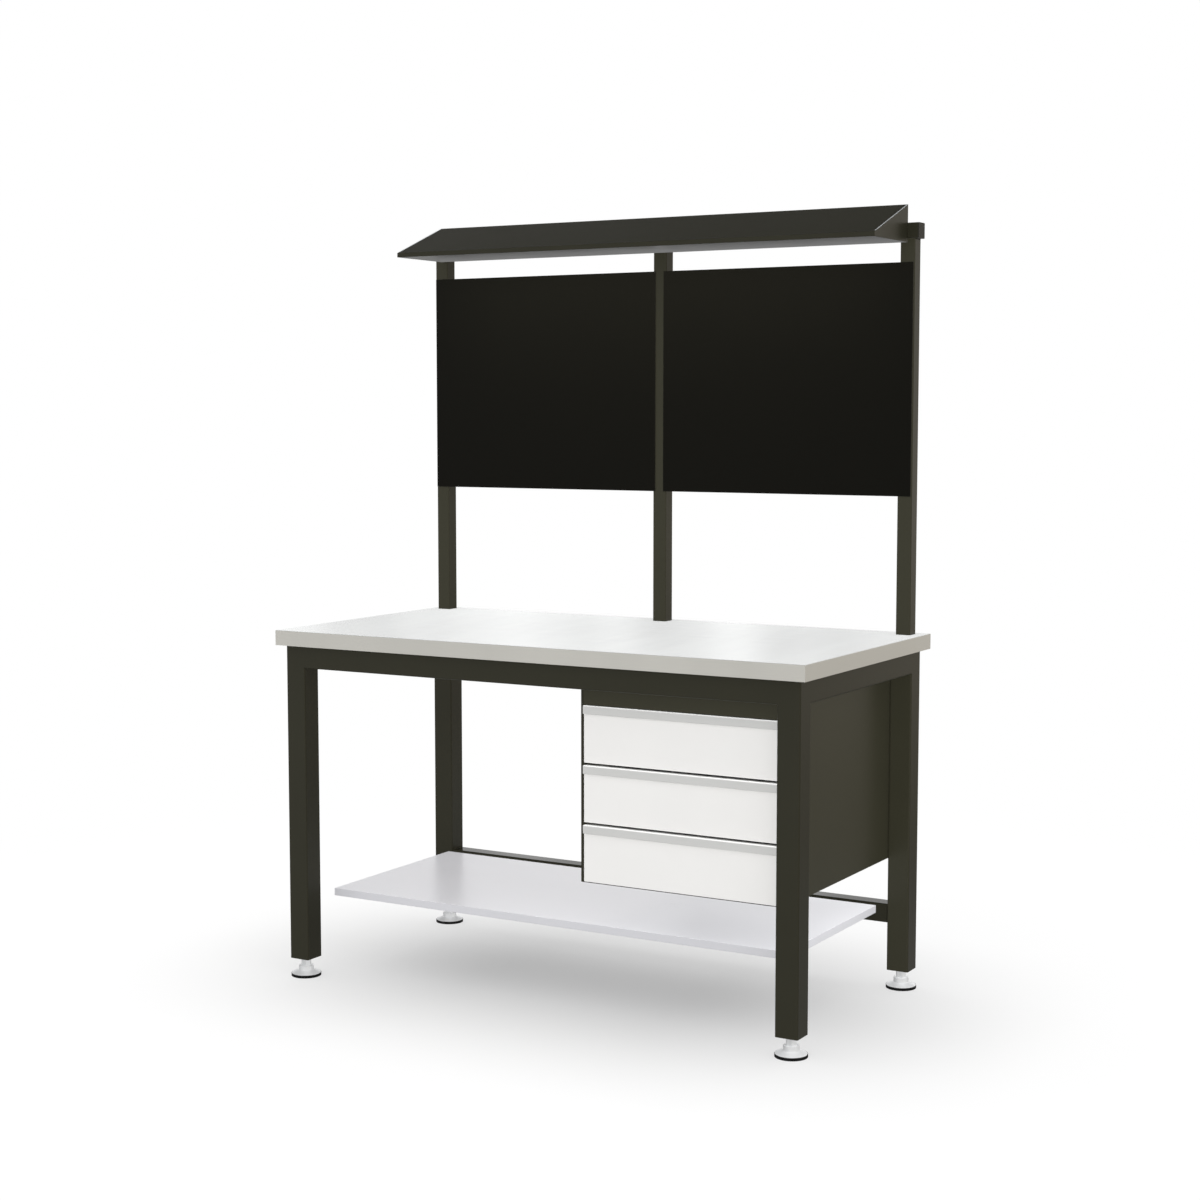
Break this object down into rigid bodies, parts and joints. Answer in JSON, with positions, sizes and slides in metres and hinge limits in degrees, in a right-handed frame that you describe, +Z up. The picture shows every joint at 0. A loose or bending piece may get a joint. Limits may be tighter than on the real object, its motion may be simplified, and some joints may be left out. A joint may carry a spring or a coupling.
{
  "type": "workbench",
  "caption": "Standing workbench on a tube frame with a steel-clad top, hanging drawer cabinet, low shelf, back panels on uprights and a sloping hood.",
  "frame": {"origin": "on the floor under the middle of the worktop", "axes": "+X along the front edge to the right, +Y from the front to the back, +Z up"},
  "size_m": [1.54, 0.79, 2.046],
  "materials": {
    "frame_paint": "satin powder coat, dark olive black",
    "panel_paint": "matt powder coat, near black",
    "shelf_paint": "satin powder coat, light grey",
    "stainless_sheet": "brushed along the length",
    "core_board": "raw particle board",
    "drawer_paint": "smooth white powder coat",
    "handle_aluminium": "satin anodised",
    "zinc_sheet": "light grey painted sheet",
    "zinc_steel": "bright zinc plate",
    "foot_rubber": "matt black rubber",
    "cap_plastic": "dark moulded plastic"
  },
  "bodies": {
    "bench": {"leg_front_left": "frame_paint", "leg_front_right": "frame_paint", "leg_rear_left": "frame_paint", "leg_rear_right": "frame_paint", "leg_end_plates": "frame_paint", "front_top_rail": "frame_paint", "rear_top_rail": "frame_paint", "left_top_rail": "frame_paint", "right_top_rail": "frame_paint", "rear_lower_rail": "frame_paint", "worktop_lugs": "frame_paint", "shelf_arms": "frame_paint", "upright_left": "frame_paint", "upright_middle": "frame_paint", "upright_right": "frame_paint", "top_rail": "frame_paint", "panel_brackets": "frame_paint", "hood_shell": "frame_paint", "hood_bottom_panel": "frame_paint", "hood_end_plate_left": "frame_paint", "hood_end_plate_right": "frame_paint", "cabinet_side_left": "frame_paint", "cabinet_side_right": "frame_paint", "cabinet_back": "frame_paint", "cabinet_floor": "frame_paint", "cabinet_fascia": "frame_paint", "panel_left": "panel_paint", "panel_right": "panel_paint", "shelf_tray": "shelf_paint", "worktop_steel_cover": "stainless_sheet", "worktop_core": "core_board", "runner_cabinet_rails": "zinc_steel", "upright_spigots": "zinc_steel", "upright_lock_bolts": "zinc_steel", "worktop_screws": "zinc_steel", "top_rail_end_caps": "cap_plastic"},
    "drawer_top": {"drawer_top_box": "zinc_sheet", "drawer_top_front": "drawer_paint", "drawer_top_handle": "handle_aluminium", "drawer_top_runner_rails": "zinc_steel"},
    "runner_slides_top": {"drawer_top_runner_slides": "zinc_steel"},
    "drawer_middle": {"drawer_middle_box": "zinc_sheet", "drawer_middle_front": "drawer_paint", "drawer_middle_handle": "handle_aluminium", "drawer_middle_runner_rails": "zinc_steel"},
    "runner_slides_middle": {"drawer_middle_runner_slides": "zinc_steel"},
    "drawer_bottom": {"drawer_bottom_box": "zinc_sheet", "drawer_bottom_front": "drawer_paint", "drawer_bottom_handle": "handle_aluminium", "drawer_bottom_runner_rails": "zinc_steel"},
    "runner_slides_bottom": {"drawer_bottom_runner_slides": "zinc_steel"},
    "levelling_foot_front_left": {"foot_front_left": "zinc_steel", "foot_pad_front_left": "foot_rubber"},
    "levelling_foot_front_right": {"foot_front_right": "zinc_steel", "foot_pad_front_right": "foot_rubber"},
    "levelling_foot_rear_left": {"foot_rear_left": "zinc_steel", "foot_pad_rear_left": "foot_rubber"},
    "levelling_foot_rear_right": {"foot_rear_right": "zinc_steel", "foot_pad_rear_right": "foot_rubber"}
  },
  "joints": [
    {"name": "drawer_top_slide", "type": "slide", "parent": "bench", "child": "drawer_top", "axis": [0, -1, 0], "range_m": [0, 0.5]},
    {"name": "runner_top_slide", "type": "slide", "parent": "bench", "child": "runner_slides_top", "axis": [0, -1, 0], "range_m": [0, 0.25]},
    {"name": "drawer_middle_slide", "type": "slide", "parent": "bench", "child": "drawer_middle", "axis": [0, -1, 0], "range_m": [0, 0.5]},
    {"name": "runner_middle_slide", "type": "slide", "parent": "bench", "child": "runner_slides_middle", "axis": [0, -1, 0], "range_m": [0, 0.25]},
    {"name": "drawer_bottom_slide", "type": "slide", "parent": "bench", "child": "drawer_bottom", "axis": [0, -1, 0], "range_m": [0, 0.5]},
    {"name": "runner_bottom_slide", "type": "slide", "parent": "bench", "child": "runner_slides_bottom", "axis": [0, -1, 0], "range_m": [0, 0.25]},
    {"name": "foot_front_left_height", "type": "slide", "parent": "bench", "child": "levelling_foot_front_left", "axis": [0, 0, -1], "range_m": [0, 0.05]},
    {"name": "foot_front_right_height", "type": "slide", "parent": "bench", "child": "levelling_foot_front_right", "axis": [0, 0, -1], "range_m": [0, 0.05]},
    {"name": "foot_rear_left_height", "type": "slide", "parent": "bench", "child": "levelling_foot_rear_left", "axis": [0, 0, -1], "range_m": [0, 0.05]},
    {"name": "foot_rear_right_height", "type": "slide", "parent": "bench", "child": "levelling_foot_rear_right", "axis": [0, 0, -1], "range_m": [0, 0.05]}
  ],
  "couplings": [
    {"joint": "runner_top_slide", "follows": "drawer_top_slide", "ratio": 0.5},
    {"joint": "runner_middle_slide", "follows": "drawer_middle_slide", "ratio": 0.5},
    {"joint": "runner_bottom_slide", "follows": "drawer_bottom_slide", "ratio": 0.5}
  ]
}
